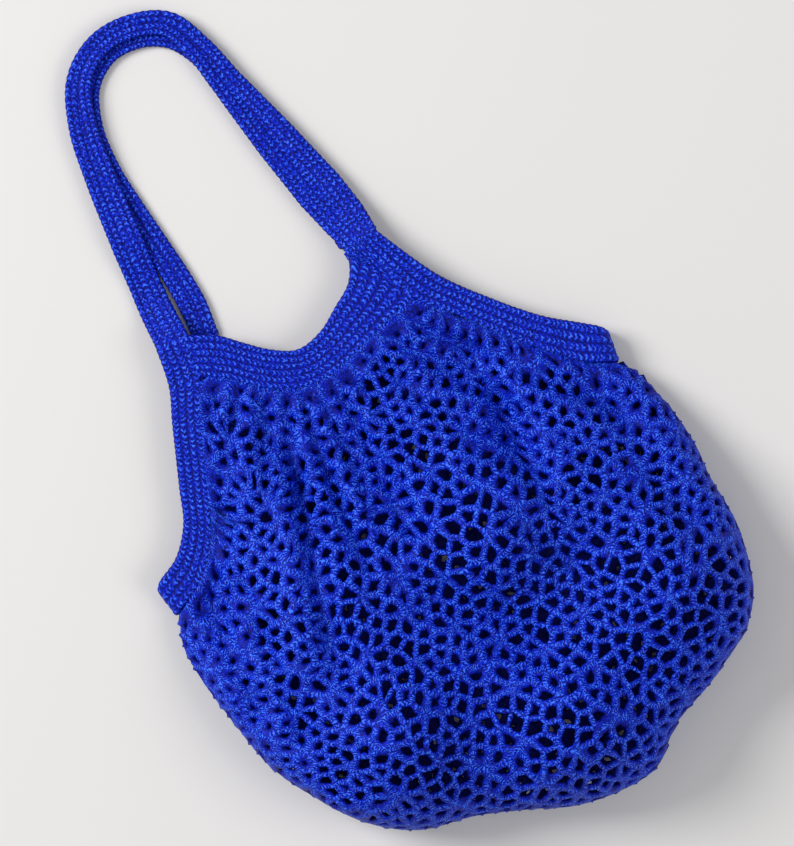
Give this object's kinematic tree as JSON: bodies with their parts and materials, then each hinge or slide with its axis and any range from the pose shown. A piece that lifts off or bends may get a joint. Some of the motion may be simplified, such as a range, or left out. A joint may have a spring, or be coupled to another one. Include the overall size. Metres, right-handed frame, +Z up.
{
  "type": "string shopping bag",
  "caption": "Crocheted string shopping bag lying on its back: open net pouch in its filled form under solid neck and side bands, with long strap handles.",
  "frame": {"origin": "centre of the bounding box's base, on the surface that the bag's back lies on", "axes": "+Y from the pouch's bottom edge to the handles, +Z up from the back of the bag to its front, +X to the bag's right as its front is seen from above"},
  "size_m": [0.3078, 0.5148, 0.0783],
  "materials": {
    "net_yarn": "satin twisted polyester yarn, worked as open lace",
    "band_yarn": "satin twisted polyester yarn, worked as dense single crochet"
  },
  "bodies": {
    "root": {"net_front": "net_yarn", "net_back": "net_yarn", "neck_band_front": "band_yarn", "neck_band_back": "band_yarn", "side_band_left": "band_yarn", "side_band_right": "band_yarn", "handle_front": "band_yarn", "handle_back": "band_yarn"}
  },
  "joints": []
}
